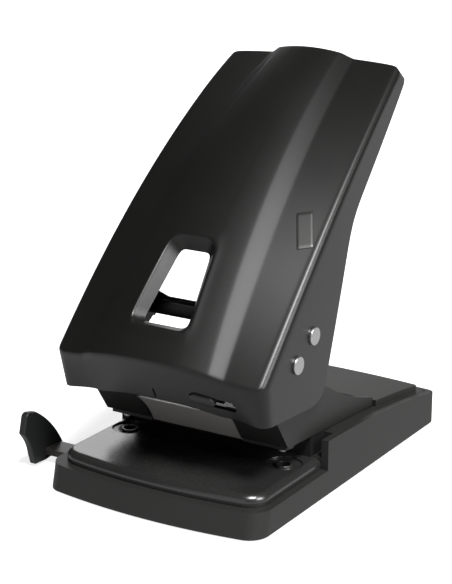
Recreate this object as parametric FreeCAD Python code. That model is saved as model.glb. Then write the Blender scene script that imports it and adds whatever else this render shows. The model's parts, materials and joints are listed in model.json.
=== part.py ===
import FreeCAD, Part
import os
from math import atan2, cos, degrees, pi, radians, sin, sqrt

# Two-hole desk punch. Millimetres, +Z up, +Y to the back, +X to the user's right.
# Origin: on the table, midway between the two punch holes.

# ---- driving dimensions ----
fit_gap = 0.05            # radial clearance of a running fit
free_gap = 0.3            # clearance between pieces that only pass each other

hole_pitch = 80.0         # between the two hole centres
hole_radius = 2.75        # radius of a punched hole
paper_margin = 12.0       # hole centre to the edge of the sheet

base_half = 54.0          # half width of the base
base_front = 44.0         # front corners ahead of the hole line
base_front_bow = 5.3      # how far the front edge bows forward
base_rear = 120.5         # rear corners behind the hole line
base_rear_bow = 5.0       # how far the rear edge bows back
base_corner = 9.0         # plan radius of the base's front corners
base_rear_corner = 6.0    # and of its rear corners
base_draft = 0.24         # forward lean of the front wall, run over rise
rim_height = 11.8         # top of the front rim
wall_thick = 3.4          # side and rear walls
deck_thick = 2.0          # plastic floor that carries the die plate
wall_front_y = 13.6       # where the tall side walls begin
wall_front_z = 25.3       # their height there
wall_mid_z = 22.3         # their height half way back
wall_rear_z = 14.2        # their height at the back
base_skirt_z = 0.7        # the shell stops this far above the table

plate_top = 17.0          # paper surface
plate_half = 50.5         # half width of the die plate at its foot
plate_front = 37.5        # front corners of the die plate
plate_front_bow = 5.0
plate_thick = 1.5
plate_round = 3.4         # rolled top edge of the die plate
plate_corner = 10.0
die_radius = 7.9
die_seat = 16.2           # top of the die's outer ring
die_lip_radius = 3.7      # raised ring round the hole
die_lip_top = 16.9
die_band = 1.2            # flat outer band round its dished ring
die_dish = 0.6
chip_hole_radius = 4.4

slot_top = 24.8           # underside of the pin guides
frame_half = 46.5         # outside of the steel cheeks
cheek_thick = 1.8
frame_floor_z = 25.8      # underside of the frame's floor
frame_floor_thick = 2.0
flange_thick = 1.8
flange_inner_x = 23.4     # inner edge of each front flange
beam_depth = 10.4         # cross beam and back stop, front to back
stop_half = 46.2

pivot_y = -22.5           # handle pivot
pivot_z = 53.0
pivot_radius = 3.0
press_y = -9.3            # axle that drives the punches
press_z = 65.8
tie_y = 4.8               # second axle through the handle
tie_z = 74.5
axle_radius = 3.0
tie_radius = 2.5
rivet_radius = 3.9        # flat heads on both handle axles
rivet_thick = 1.2
rivet_lift = 0.2          # heads stand this far off the leaning skirt at their centres
handle_throw = 32.0       # degrees from rest to fully pressed

handle_tilt = 47.0        # slope of the handle's top at rest
handle_front_y = -38.7    # top front corner line of the cover
handle_front_z = 62.0
handle_length = 172.2     # along the slope
handle_half_front = 51.9
handle_half_rear = 44.2
handle_sag = 19.6         # how far the shoulders fall away by the far end
cover_thick = 1.6
skirt_draft = 0.045       # skirts lean inwards by this share of their depth
shoulder_round = 3.8
lip_length = 21.9
lip_slant = 20.0          # degrees the lip leans forward of square
crown_front = 11.2        # centre of the panel above the shoulders
crown_middle = 12.8
crown_rear = 8.4
ridge_front = 32.0        # ridge centre line from the middle
ridge_middle = 25.2
ridge_rear = 18.3
ridge_run = 2.6           # half width of the sloping ridge
foot_rise_front = 3.2     # ridge foot above the shoulders
foot_rise_middle = 6.0
foot_rise_rear = 2.0
ridge_step_front = 2.9    # rise over the ridge
ridge_step_middle = 3.4
ridge_step_rear = 4.0

window_low_u = 15.6       # outer edge of the window, along the slope
window_high_u = 59.0
window_low_half = 14.6
window_high_half = 11.2
window_inset_low = 3.4    # inner opening inside the outer edge
window_inset_high = 4.4
window_inset_side = 3.8
window_depth = 5.4
window_corner = 3.6

slit_width = 1.1
slit_start = 9.0
lock_x = 27.6             # centre of the lock slot on the lip
lock_down = 14.4          # its distance down the lip
lock_half_length = 10.5
lock_half_height = 2.6
lock_tilt = 12.5          # degrees the slot drops to the right

arm_inset = 9.0           # inner face of each lever arm from its punch's centre line
arm_thick = 3.0
arm_round = 5.2
web_thick = 1.5           # cross web behind the tie axle
web_below = 6.0
web_lift = 1.6            # its low middle part above the tie axle's centre
web_above = 12.6
web_gusset = 8.1          # width of the web's sloping ends
web_gusset_rise = 11.0
sleeve_radius = 3.0

pin_radius = 2.75
pin_rest_tip = 23.2
guide_radius = 4.4
guide_top = 40.0
head_width = 8.0
head_wall = 2.0
head_bottom = 59.0
head_top = 71.0
spring_wire = 1.0
collar_thick = 1.0
spring_turns = 5.5

guide_y = -15.5           # middle of the paper guide's bar
guide_width = 11.0
guide_bottom = 4.0
guide_thick = 3.0
guide_tab_x = -75.6       # outer face of its tab
guide_tab_thick = 3.4
guide_inner_x = 32.0

tray_inset = 9.0          # tray's sides inside the base's
tray_play = 0.15          # radial play of its knuckles
tray_front = 36.0
tray_rear = 104.0
tray_thick = 1.6
tray_wall = 7.0
tray_wall_front = 2.2     # lower, where the guide bar passes above
tray_lift = 0.0           # its floor is level with the feet
hinge_radius = 1.5
hinge_ear_top = 5.8
hinge_ear_front = 2.0     # ear ahead of its pin's centre
badge_thick = 0.3

screw_y = 19.0            # screws through the frame, the back stop and the beam
screw_places = (-30.0, -12.0, 12.0, 30.0)
screw_shank = 1.9
screw_head = 3.6
screw_head_high = 2.2
screw_socket = 1.3
deck_skin = 2.2           # plastic cover behind the frame
deck_skirt = 8.0          # how deep its rim reaches into the base
deck_play = 0.3
platform_rise = 3.2
platform_inset = 6.0
platform_rear_inset = 8.5
cheek_tip_y = -7.9        # lower front corner of a cheek
cheek_tip_z = 27.8
cheek_top_z = 47.6
tail_end_y = 69.0
tail_end_z = 22.9
lug_radius = 7.4          # cheek round the pivot
flange_lean = 0.678       # flanges lean forward, run over rise
flange_top_z = 46.0
slot_play = 0.35          # the press axle rises and falls a little in the heads
guide_low_y = -5.9        # lower and upper edge of the curved guide plate
guide_low_z = 26.2
guide_high_y = -19.0
guide_high_z = 41.0
guide_hollow = 1.0
guide_plate_run = 1.7
foot_radius = 3.0
foot_boss = 3.8           # radius of the boss that holds a foot
foot_boss_top = 6.0
foot_plug_top = 3.2
foot_inset = 4.8
foot_front_inset = 12.0
foot_rear_inset = 7.0
lip_cut_back = 4.0        # how far back the lip's lower edge is trimmed level
lip_back = 9.0            # the lip's lower edge ends this far behind its top corner
lip_lowest = 46.3         # height of that edge away from the middle
lock_pad = 2.0            # backing behind the lip at the lock

# ---- worked-out values ----
V = FreeCAD.Vector
half_pitch = hole_pitch / 2
far = 400.0
lip_u = -sin(radians(lip_slant))
lip_n = -cos(radians(lip_slant))
beam_back = wall_front_y + beam_depth
deck_under = rim_height - deck_thick
pivot_to_press = sqrt((press_y - pivot_y) ** 2 + (press_z - pivot_z) ** 2)
press_angle = atan2(press_z - pivot_z, press_y - pivot_y)
stroke = pivot_to_press * (sin(press_angle) - sin(press_angle - radians(handle_throw)))
window_top_n = crown_front + 0.3
arm_x = half_pitch - arm_inset
tray_half = base_half - tray_inset
foot_x = base_half - foot_inset
tray_hinge_y = tray_rear + 3.4
tray_hinge_z = tray_lift + 3.1
press_end_y = pivot_y + pivot_to_press * cos(press_angle - radians(handle_throw))
handle_frame = FreeCAD.Placement(
    V(0, handle_front_y, handle_front_z),
    FreeCAD.Rotation(V(1, 0, 0), handle_tilt),
)


# ---- small helpers ----
def box(x0, x1, y0, y1, z0, z1):
    return Part.makeBox(x1 - x0, y1 - y0, z1 - z0, V(x0, y0, z0))


def rod(radius, x0, x1, y, z):
    """Cylinder along X."""
    return Part.makeCylinder(radius, x1 - x0, V(x0, y, z), V(1, 0, 0))


def post(radius, x, y, z0, z1):
    """Cylinder along Z."""
    return Part.makeCylinder(radius, z1 - z0, V(x, y, z0))


def arc(a, b, c):
    return Part.Arc(a, b, c).toShape()


def line(a, b):
    return Part.makeLine(a, b)


def fuse(shapes):
    whole = shapes[0].multiFuse(shapes[1:]) if len(shapes) > 1 else shapes[0]
    return whole.removeSplitter()


def cut_all(shape, tools):
    for tool in tools:
        shape = shape.cut(tool)
    return shape


def side_prism(edges, x0, x1):
    """Extrude a closed side-view outline, drawn at x = 0, from x0 to x1."""
    face = Part.Face(Part.Wire(edges))
    face.translate(V(x0, 0, 0))
    return face.extrude(V(x1 - x0, 0, 0))


def polygon(points, x=0.0):
    corners = [V(x, y, z) for y, z in points]
    return [line(a, b) for a, b in zip(corners, corners[1:] + corners[:1])]


def round_uprights(solid, radius, y_from=-far, y_to=far):
    """Round the edges that run mostly upwards and lie between two depths."""
    edges = []
    for edge in solid.Edges:
        if len(edge.Vertexes) < 2:
            continue
        a, b = edge.Vertexes[0].Point, edge.Vertexes[1].Point
        upright = abs(b.z - a.z) > 0.5 * edge.Length
        if upright and y_from < a.y < y_to:
            edges.append(edge)
    return solid.makeFillet(radius, edges)


def plan_wire(half, front, front_bow, rear, rear_bow, z):
    """Plan outline with bowed front and rear edges."""
    fl, fr = V(-half, -front, z), V(half, -front, z)
    rl, rr = V(-half, rear, z), V(half, rear, z)
    edges = [
        arc(fl, V(0, -front - front_bow, z), fr),
        line(fr, rr),
        line(rr, rl) if rear_bow == 0 else arc(rr, V(0, rear + rear_bow, z), rl),
        line(rl, fl),
    ]
    return Part.Wire(edges)


def wall_line(lift=0.0):
    """Side view of the tall walls' top edge, a falling arc."""
    middle = (wall_front_y + base_rear) / 2
    back = base_rear + base_rear_bow
    return (
        V(0, wall_front_y, wall_front_z + lift),
        V(0, middle, wall_mid_z + lift),
        V(0, back, wall_rear_z + lift),
    )


# ---- base ----
def base_block(inset, z0, z1):
    """Solid plan block of the base, its front wall leaning back as it rises."""
    wires = []
    for z in (z0, z1):
        front = base_front - inset - base_draft * z
        wires.append(plan_wire(
            base_half - inset, front, base_front_bow, base_rear - inset, base_rear_bow, z))
    block = Part.makeLoft(wires, True, True)
    block = round_uprights(block, max(base_corner - inset, 2.0), -far, 0)
    return round_uprights(block, max(base_rear_corner - inset, 2.0), 0, far)


def under_walls():
    """Everything below the rim in front and below the falling wall line behind."""
    start, middle, end = wall_line()
    low = V(0, wall_front_y, -1)
    end_low = V(0, end.y, -1)
    rear = side_prism([arc(start, middle, end), line(end, end_low), line(end_low, low),
                       line(low, start)], -far, far)
    front = box(-far, far, -far, wall_front_y, -1, rim_height)
    return rear.fuse(front)


def base_shell():
    shell = base_block(0.0, base_skirt_z, wall_front_z + 1).common(under_walls())
    hollow = base_block(wall_thick, -1, far / 8)
    front_room = hollow.common(box(-far, far, -far, wall_front_y, -2, deck_under))
    beam_room = hollow.common(box(-far, far, wall_front_y - 1, beam_back, -2, deck_under))
    rear_room = hollow.common(box(-far, far, beam_back, far, -2, far))
    beam_top = box(-far, far, wall_front_y, beam_back, plate_top, far).common(hollow)
    shell = cut_all(shell, [front_room, beam_room, rear_room, beam_top])
    shell = fuse([shell] + foot_posts(foot_boss, base_skirt_z, foot_boss_top))
    shell = cut_all(shell, foot_posts(foot_radius, -1, foot_plug_top))
    holes = [post(chip_hole_radius, side * half_pitch, 0, 0, far) for side in (-1, 1)]
    guide_slot = box(-base_half - 1, -base_half + wall_thick + 1,
                     guide_y - guide_width / 2 - free_gap, guide_y + guide_width / 2 + free_gap,
                     guide_bottom - free_gap, guide_bottom + guide_thick + free_gap)
    screws = [post(screw_shank, x, screw_y, 0, far) for x in screw_places]
    return cut_all(shell, holes + [guide_slot] + screws)


def rear_deck():
    """Cover behind the frame: a low level under the cheeks and a raised platform."""
    inset = wall_thick + deck_play
    plan = base_block(inset, 0, far / 8)
    start, middle, end = wall_line()

    def slab(lift, y_from, thick):
        top = [V(0, p.y, p.z + lift) for p in (start, middle, end)]
        low = [V(0, p.y, p.z - thick) for p in (start, middle, end)]
        ring = [arc(*top), line(top[2], low[2]), arc(low[2], low[1], low[0]), line(low[0], top[0])]
        return side_prism(ring, -far, far).common(box(-far, far, y_from, far, 0, far))

    level = slab(0.0, beam_back, deck_skin).common(plan)
    raised_plan = base_block(platform_inset, 0, far / 8)
    shifted = raised_plan.copy()
    shifted.translate(V(0, platform_inset - platform_rear_inset, 0))
    raised_plan = raised_plan.common(shifted)
    platform = slab(platform_rise, tail_end_y + free_gap, 0.0).common(raised_plan)
    skirt = slab(-0.2, beam_back, deck_skirt).common(plan)
    behind_beam = box(-far, far, beam_back + 2, far, 0, far)
    skirt = skirt.cut(base_block(inset + 2.0, -1, far / 8).common(behind_beam))
    return fuse([level, platform, skirt])


def die_plate():
    """Pressed steel plate with rolled edges that the sheets lie on."""
    def block(inset, z0, z1):
        wire = plan_wire(plate_half - inset, plate_front - inset, plate_front_bow,
                         wall_front_y - free_gap, 0, z0)
        solid = Part.Face(wire).extrude(V(0, 0, z1 - z0))
        fronts = [e for e in solid.Edges if abs(e.Vertexes[0].Point.z - e.Vertexes[-1].Point.z) > 1
                  and e.Vertexes[0].Point.y < 0]
        return solid.makeFillet(plate_corner - inset, fronts)

    outer = block(0.0, rim_height, plate_top)
    tops = [e for e in outer.Edges if min(v.Point.z for v in e.Vertexes) > plate_top - 0.01
            and min(v.Point.y for v in e.Vertexes) < wall_front_y - 1]
    outer = outer.makeFillet(plate_round, tops)
    inner = block(plate_thick, rim_height - 1, plate_top - plate_thick)
    inner_tops = [e for e in inner.Edges
                  if min(v.Point.z for v in e.Vertexes) > plate_top - plate_thick - 0.01
                  and min(v.Point.y for v in e.Vertexes) < wall_front_y - 1]
    inner = inner.makeFillet(plate_round - plate_thick, inner_tops)
    inner = inner.common(box(-far, far, -far, wall_front_y - free_gap - plate_thick, 0, far))
    dies = [post(die_radius, side * half_pitch, 0, 0, far) for side in (-1, 1)]
    return cut_all(outer, [inner] + dies)


def die(side):
    x = side * half_pitch
    body = post(die_radius, x, 0, rim_height, die_seat)
    lip = post(die_lip_radius, x, 0, rim_height, die_lip_top)
    dish = Part.makeCone(die_lip_radius, die_radius - die_band, die_dish + 0.2, V(x, 0, die_seat - die_dish))
    return fuse([body.cut(dish), lip]).cut(post(hole_radius + fit_gap, x, 0, 0, far))


def back_stop():
    """Steel bar that the sheets butt against; the frame stands on it."""
    bar = box(-stop_half, stop_half, paper_margin, beam_back, plate_top, frame_floor_z)
    return cut_all(bar, [post(screw_shank, x, screw_y, 0, far) for x in screw_places])


def cheek_outline():
    """Side view of a cheek: pivot lug, low top edge and the hollow-curved tail."""
    front_top = V(0, cheek_tip_y - flange_lean * (flange_top_z - cheek_tip_z), flange_top_z)
    lug_front = V(0, pivot_y - lug_radius, pivot_z)
    lug_top = V(0, pivot_y, pivot_z + lug_radius)
    lug_back = V(0, pivot_y + lug_radius, pivot_z)
    seat_front = V(0, pivot_y + lug_radius + 3.0, cheek_top_z)
    sweep_top = V(0, 21.0, cheek_top_z)
    sweep_mid = V(0, 44.0, 35.4)
    sweep_end = V(0, tail_end_y - 3.0, 27.6)
    tail_top = V(0, tail_end_y, 26.4)
    tail_low = V(0, tail_end_y - 0.6, tail_end_z)
    tip = V(0, cheek_tip_y, cheek_tip_z)
    return [
        line(tip, front_top), line(front_top, lug_front), arc(lug_front, lug_top, lug_back),
        line(lug_back, seat_front),
        line(seat_front, sweep_top), arc(sweep_top, sweep_mid, sweep_end),
        line(sweep_end, tail_top), line(tail_top, tail_low), line(tail_low, tip),
    ]


def punch_frame():
    """Folded steel frame: floor, two cheeks, two leaning front flanges."""
    inside = frame_half - cheek_thick
    floor = box(-inside, inside, cheek_tip_y + 1.4, beam_back + 12, frame_floor_z,
                frame_floor_z + frame_floor_thick)
    plate_room = box(-flange_inner_x, flange_inner_x, -far, guide_low_y + guide_plate_run, 0, far)
    pieces = [floor.cut(plate_room)]
    top_y = cheek_tip_y - flange_lean * (flange_top_z - cheek_tip_z)
    run = flange_thick * sqrt(1 + flange_lean ** 2)
    for side in (-1, 1):
        outer, inner = side * frame_half, side * inside
        pieces.append(side_prism(cheek_outline(), min(outer, inner), max(outer, inner)))
        flange = polygon([(cheek_tip_y, cheek_tip_z), (top_y, flange_top_z),
                          (top_y + run, flange_top_z), (cheek_tip_y + run, cheek_tip_z)])
        ends = sorted((side * flange_inner_x, outer))
        pieces.append(side_prism(flange, ends[0], ends[1]))
    frame = fuse(pieces)
    holes = [rod(pivot_radius, -far, far, pivot_y, pivot_z)]
    holes += [post(guide_radius, side * half_pitch, 0, 0, 50) for side in (-1, 1)]
    holes += [post(screw_shank, x, screw_y, 0, 50) for x in screw_places]
    return cut_all(frame, holes)


def guide_plate():
    """Hollow-curved deflector between the towers that leads the sheets in."""
    low = V(0, guide_low_y, guide_low_z)
    high = V(0, guide_high_y, guide_high_z)
    middle = (low + high) * 0.5 + V(0, guide_hollow, guide_hollow)
    back = V(0, guide_plate_run, 0)
    ring = [
        arc(low, middle, high), line(high, high + back),
        arc(high + back, middle + back, low + back), line(low + back, low),
    ]
    half = flange_inner_x - free_gap
    return side_prism(ring, -half, half)


def pin_guide(side):
    x = side * half_pitch
    tube = post(guide_radius, x, 0, slot_top, guide_top)
    return tube.cut(post(pin_radius + fit_gap, x, 0, 0, far))


def return_spring(side):
    """Coil round the punch, from the pin guide up to the punch's head."""
    length = head_bottom - collar_thick - guide_top - spring_wire
    coil_radius = pin_radius + 0.3 + spring_wire / 2
    helix = Part.makeHelix(length / spring_turns, length, coil_radius)
    start = V(coil_radius, 0, 0)
    section = Part.Wire(Part.makeCircle(spring_wire / 2, start, V(0, 1, 0)))
    coil = Part.Wire(helix).makePipeShell([section], True, True)
    coil.translate(V(side * half_pitch, 0, guide_top + spring_wire / 2))
    return coil


def pivot_axle():
    return rod(pivot_radius, -frame_half, frame_half, pivot_y, pivot_z)


def pivot_clips():
    """Two retaining rings on the pivot axle, just inside the cheeks."""
    rings = []
    inside = frame_half - cheek_thick
    for x0 in (-inside, inside - 1.0):
        ring = rod(pivot_radius + 2.0, x0, x0 + 1.0, pivot_y, pivot_z)
        rings.append(ring.cut(rod(pivot_radius, -far, far, pivot_y, pivot_z)))
    return Part.makeCompound(rings)


def frame_screws():
    """Screws that clamp the frame and the back stop to the base's beam."""
    screws = []
    head_seat = frame_floor_z + frame_floor_thick
    for x in screw_places:
        shank = post(screw_shank, x, screw_y, deck_under, head_seat)
        head = post(screw_head, x, screw_y, head_seat, head_seat + screw_head_high)
        socket = post(screw_socket, x, screw_y, head_seat + screw_head_high / 2, far)
        screws.append(fuse([shank, head]).cut(socket))
    return Part.makeCompound(screws)


def foot_posts(radius, z0, z1):
    """Posts at the four foot positions, under the side walls."""
    posts = []
    for x in (-foot_x, foot_x):
        for y in (foot_front_inset - base_front, base_rear - foot_rear_inset):
            posts.append(post(radius, x, y, z0, z1))
    return posts


def rubber_feet():
    """Plugs pressed into sockets in the base's corners."""
    return Part.makeCompound(foot_posts(foot_radius, 0, foot_plug_top))


# ---- handle, drawn along its own slope and then turned into place ----
def along(u, front, middle, rear):
    """Value at distance u along the handle, through three stations."""
    t = u / handle_length
    return front * (1 - t) * (1 - 2 * t) + middle * 4 * t * (1 - t) + rear * t * (2 * t - 1)


def half_width(u):
    return handle_half_front + (handle_half_rear - handle_half_front) * (u / handle_length) ** 2


def shoulder(u):
    return -handle_sag * max(u / handle_length, 0.0) ** 2.4


def top_points(u, grow):
    """Half section of the cover's top, from the middle out to the skirt."""
    edge = shoulder(u) + grow
    half = half_width(u) + grow
    ridge = along(u, ridge_front, ridge_middle, ridge_rear)
    foot = along(u, foot_rise_front, foot_rise_middle, foot_rise_rear)
    step = along(u, ridge_step_front, ridge_step_middle, ridge_step_rear)
    crown = along(u, crown_front, crown_middle, crown_rear)
    crest = foot + step
    r = shoulder_round + grow
    return [
        (0.0, edge + crown),
        ((ridge - ridge_run) * 0.55, edge + crest + (crown - crest) * 0.70),
        (ridge - ridge_run, edge + crest),
        (ridge + ridge_run, edge + foot),
        (half - r, edge + 0.25),
        (half - r * (1 - cos(pi / 4)), edge + 0.1 - r * (1 - sin(pi / 4))),
        (half, edge - r),
    ]


def section(u, grow, depth):
    """Closed cross-section of the cover at u, reaching down by depth."""
    right = [V(x, u, n) for x, n in top_points(u, grow)]
    left = [V(-p.x, u, p.z) for p in right[:0:-1]]
    points = left + right
    spline = Part.BSplineCurve()
    spline.interpolate(points)
    low_left = V(points[0].x + skirt_draft * depth, u, -depth)
    low_right = V(points[-1].x - skirt_draft * depth, u, -depth)
    return Part.Wire([spline.toShape(), line(points[-1], low_right), line(low_right, low_left),
                      line(low_left, points[0])])


def cover_block(grow, u0, u1, depth):
    """Solid body under the cover's top, between two stations, with its leaning front."""
    count = 6
    wires = [section(u0 + (u1 - u0) * i / count, grow, depth) for i in range(count + 1)]
    body = Part.makeLoft(wires, True, False)
    reach = lip_length + 6 if grow == 0 else lip_length * 2.4
    front = Part.Face(section(u0, grow, depth)).extrude(V(0, lip_u * reach, lip_n * reach))
    return body, front


def skirt_outline():
    """Side view of the cover in the base's frame."""
    front_low = V(0, -29.1, 45.3)
    low_back = V(0, 8.5, 42.2)
    bend = V(0, 15.8, 43.9)
    rise = V(0, 18.6, 51.5)
    kink_low = V(0, 38.8, 110.0)
    kink_mid = V(0, 40.9, 115.3)
    kink_high = V(0, 44.6, 119.6)
    far_low = V(0, 97.2, 166.8)
    back = far
    return [
        line(V(0, -back, front_low.z), front_low), line(front_low, low_back), arc(low_back, bend, rise),
        line(rise, kink_low), arc(kink_low, kink_mid, kink_high), line(kink_high, far_low),
        line(far_low, V(0, far_low.y, back)), line(V(0, far_low.y, back), V(0, -back, back)),
        line(V(0, -back, back), V(0, -back, front_low.z)),
    ]


def window_funnel(extra, up, down):
    """Tapered window shape, wider outside, grown by extra."""
    top_n = window_top_n
    wires = []
    for n, t in ((top_n + up, -up / window_depth), (top_n - window_depth - down, 1 + down / window_depth)):
        low = window_low_u + window_inset_low * t - extra
        high = window_high_u - window_inset_high * t + extra
        low_half = window_low_half - window_inset_side * t + extra
        high_half = window_high_half - window_inset_side * t + extra
        corners = [V(-low_half, low, n), V(low_half, low, n), V(high_half, high, n), V(-high_half, high, n)]
        wires.append(Part.Wire([line(a, b) for a, b in zip(corners, corners[1:] + corners[:1])]))
    return round_uprights(Part.makeLoft(wires, True, True), window_corner)


def lip_height(x):
    """Height of the cover's front edge above its shoulders at x."""
    points = [V(p, 0, n) for p, n in top_points(0.0, 0.0)]
    for a, b in zip(points, points[1:]):
        if x <= b.x:
            return a.z + (b.z - a.z) * (x - a.x) / (b.x - a.x)
    return points[-1].z


def lip_frame():
    """Frame on the lip's outer face at the lock: X along the slot, Y up the lip, Z outwards."""
    ends = []
    for side in (-1, 1):
        x = lock_x + side * lock_half_length * cos(radians(lock_tilt))
        down = lock_down + side * lock_half_length * sin(radians(lock_tilt))
        down -= (lip_height(x) - lip_height(lock_x)) * lip_n
        ends.append(V(x, lip_u * down, lip_height(x) + lip_n * down))
    centre = (ends[0] + ends[1]) * 0.5
    across = (ends[1] - ends[0]).normalize()
    out = V(0, lip_u, lip_n).cross(across).normalize()
    if out.y > 0:
        out = out.negative()
    up = out.cross(across)
    return FreeCAD.Placement(FreeCAD.Matrix(
        across.x, up.x, out.x, centre.x,
        across.y, up.y, out.y, centre.y,
        across.z, up.z, out.z, centre.z,
        0, 0, 0, 1))


def placed(shape, frame):
    shape = shape.copy()
    shape.Placement = frame.multiply(shape.Placement)
    return shape


def handle_cover():
    """Pressed cover: raised panel between two ridges, leaning lip, skirts and window."""
    depth = 70.0
    outer, outer_front = cover_block(0.0, 0.0, handle_length, depth)
    inner, inner_front = cover_block(-cover_thick, cover_thick, handle_length - cover_thick, depth + 5)
    drop = section(0.0, 8.0, depth + 20)
    drop.translate(V(0, lip_u * lip_length - 12, lip_n * lip_length - 8.0))
    under_lip = Part.Face(drop).extrude(V(0, 12 + lip_cut_back, 0))
    cover = fuse([outer, outer_front])
    cover = cut_all(cover, [inner, inner_front, under_lip])
    rim = window_funnel(cover_thick, 0.0, 0.0).common(outer)
    cover = fuse([cover, rim]).cut(window_funnel(0.0, 5.0, 2.0))
    slit_end = lip_length + 6
    slit = box(-slit_width / 2, slit_width / 2, -30, 2.5, -30, 0)
    slit.translate(V(0, 0, crown_front + lip_n * slit_start))
    slit = slit.common(box(-2, 2, -30, 1.0, -slit_end, far))
    cover = cover.cut(slit)
    lock = lip_frame()
    pad = placed(box(-lock_half_length - 4, lock_half_length + 3, -lock_half_height - 1.6,
                     lock_half_height + 3.0, -cover_thick - lock_pad, -cover_thick * 0.6), lock)
    slot = placed(box(-lock_half_length, lock_half_length, -lock_half_height, lock_half_height,
                      -12, 12), lock)
    cover = fuse([cover, pad.common(outer.fuse(outer_front))]).cut(slot)
    cover = placed(cover, handle_frame)
    cover = cover.common(side_prism(skirt_outline(), -far, far))
    cover = cover.cut(box(-far, far, -far, handle_front_y + lip_back, -far, lip_lowest))
    axles = [rod(axle_radius, -far, far, press_y, press_z), rod(tie_radius, -far, far, tie_y, tie_z)]
    return cut_all(cover, axles)


def lock_slider():
    """Plate behind the lip with the tongue that the thumb pushes."""
    back = -cover_thick - lock_pad - free_gap
    plate = box(-lock_half_length - 3, -lock_half_length + 14.0, -lock_half_height - 1.5,
                lock_half_height + 1.5, back - 1.5, back)
    tongue = box(-lock_half_length + free_gap, -lock_half_length + 11.5, -lock_half_height + free_gap,
                 lock_half_height - free_gap, back - 1.0, 1.2)
    return placed(placed(fuse([plate, tongue]), lip_frame()), handle_frame)


def blank_badge():
    """Plain raised plate on the right shoulder, with no lettering."""
    outer, _ = cover_block(0.0, 0.0, handle_length, 70)
    skin, _ = cover_block(badge_thick, 0.0, handle_length, 70)
    low, high = 62.0, 85.5
    corners = [V(38.8, low + 3.5, -20), V(45.4, low, -20), V(43.2, high - 2.5, -20), V(36.4, high, -20)]
    stamp = Part.Face(Part.Wire([line(a, b) for a, b in zip(corners, corners[1:] + corners[:1])]))
    return placed(skin.cut(outer).common(stamp.extrude(V(0, 0, 60))), handle_frame)


def on_slope(y, z):
    """Distance along the handle's slope and height above its shoulders of a world point."""
    rel_y, rel_z = y - handle_front_y, z - handle_front_z
    c, s = cos(radians(handle_tilt)), sin(radians(handle_tilt))
    return rel_y * c + rel_z * s, rel_z * c - rel_y * s


def lever_frame():
    """Steel channel that joins the pivot to both handle axles: two arms and a cross web."""
    spots = [on_slope(pivot_y, pivot_z), on_slope(press_y, press_z), on_slope(tie_y, tie_z)]
    web_u = spots[2][0] + sleeve_radius + 0.6
    back_u = web_u + web_thick
    tie_n = spots[2][1]
    low, high = tie_n - web_below, tie_n + web_above
    flat = tie_n + web_lift
    web_flat = arm_x - web_gusset
    ring = [V(-arm_x, web_u, low), V(arm_x, web_u, low), V(arm_x, web_u, flat + web_gusset_rise),
            V(web_flat, web_u, flat), V(-web_flat, web_u, flat), V(-arm_x, web_u, flat + web_gusset_rise)]
    web = Part.Face(Part.Wire([line(a, b) for a, b in zip(ring, ring[1:] + ring[:1])]))
    pieces = [web.extrude(V(0, web_thick, 0))]
    for side in (-1, 1):
        x0 = arm_x if side > 0 else -arm_x - arm_thick
        pieces += [rod(arm_round, x0, x0 + arm_thick, u, n) for u, n in spots]
        for (ua, na), (ub, nb) in zip(spots, spots[1:]):
            length = sqrt((ub - ua) ** 2 + (nb - na) ** 2)
            link = box(x0, x0 + arm_thick, 0, length, -arm_round, arm_round)
            link.rotate(V(0, 0, 0), V(1, 0, 0), degrees(atan2(nb - na, ub - ua)))
            link.translate(V(0, ua, na))
            pieces.append(link)
        pieces.append(box(x0, x0 + arm_thick, spots[2][0] - 2.0, back_u, low, high))
    frame = fuse(pieces)
    frame = frame.cut(rod(pivot_radius + fit_gap, -far, far, *spots[0]))
    bores = zip((axle_radius, tie_radius), spots[1:])
    frame = cut_all(frame, [rod(radius, -far, far, u, n) for radius, (u, n) in bores])
    return placed(frame, handle_frame)


def crossbar_sleeve():
    """Spacer tube between the arms, round the tie axle."""
    tube = rod(sleeve_radius, -arm_x, arm_x, tie_y, tie_z)
    return tube.cut(rod(tie_radius, -far, far, tie_y, tie_z))


def riveted_axle(radius, y, z):
    """Axle through both skirts with a flat head on each side."""
    u, n = on_slope(y, z)
    half = half_width(u) + skirt_draft * n + rivet_lift
    pieces = [rod(radius, -half, half, y, z)]
    for x0 in (-half - rivet_thick, half):
        head = rod(rivet_radius, x0, x0 + rivet_thick, y, z)
        pieces.append(head)
    return fuse(pieces)


# ---- punches ----
def punch(side):
    """Hardened pin with a hollow-ground tip and a slotted head for the press axle."""
    x = side * half_pitch
    pin = post(pin_radius, x, 0, pin_rest_tip, head_bottom + 1)
    notch = rod(4.0, x - 5, x + 5, 0, pin_rest_tip - 3.0)
    pin = pin.cut(notch)
    slot_front = press_y - axle_radius - slot_play
    slot_back = press_end_y + axle_radius + slot_play
    back = max(slot_back + head_wall, pin_radius)
    head = box(x - head_width / 2, x + head_width / 2, slot_front - head_wall, back,
               head_bottom, head_top)
    slot = box(x - head_width, x + head_width, slot_front, slot_back,
               press_z - axle_radius - slot_play, press_z + axle_radius + slot_play)
    return fuse([pin, head]).cut(slot)


def punch_collar(side):
    """Clip ring under the head that the spring pushes on."""
    x = side * half_pitch
    ring = post(guide_radius, x, 0, head_bottom - collar_thick, head_bottom)
    return ring.cut(post(pin_radius, x, 0, 0, far))


# ---- paper guide ----
def guide_bar():
    bar = box(guide_tab_x + guide_tab_thick, guide_inner_x, guide_y - guide_width / 2,
              guide_y + guide_width / 2, guide_bottom, guide_bottom + guide_thick)
    stop = box(guide_inner_x - 3, guide_inner_x, guide_y - guide_width / 2 - 1.5,
               guide_y + guide_width / 2 + 1.5, guide_bottom, guide_bottom + guide_thick)
    return fuse([bar, stop])


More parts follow.
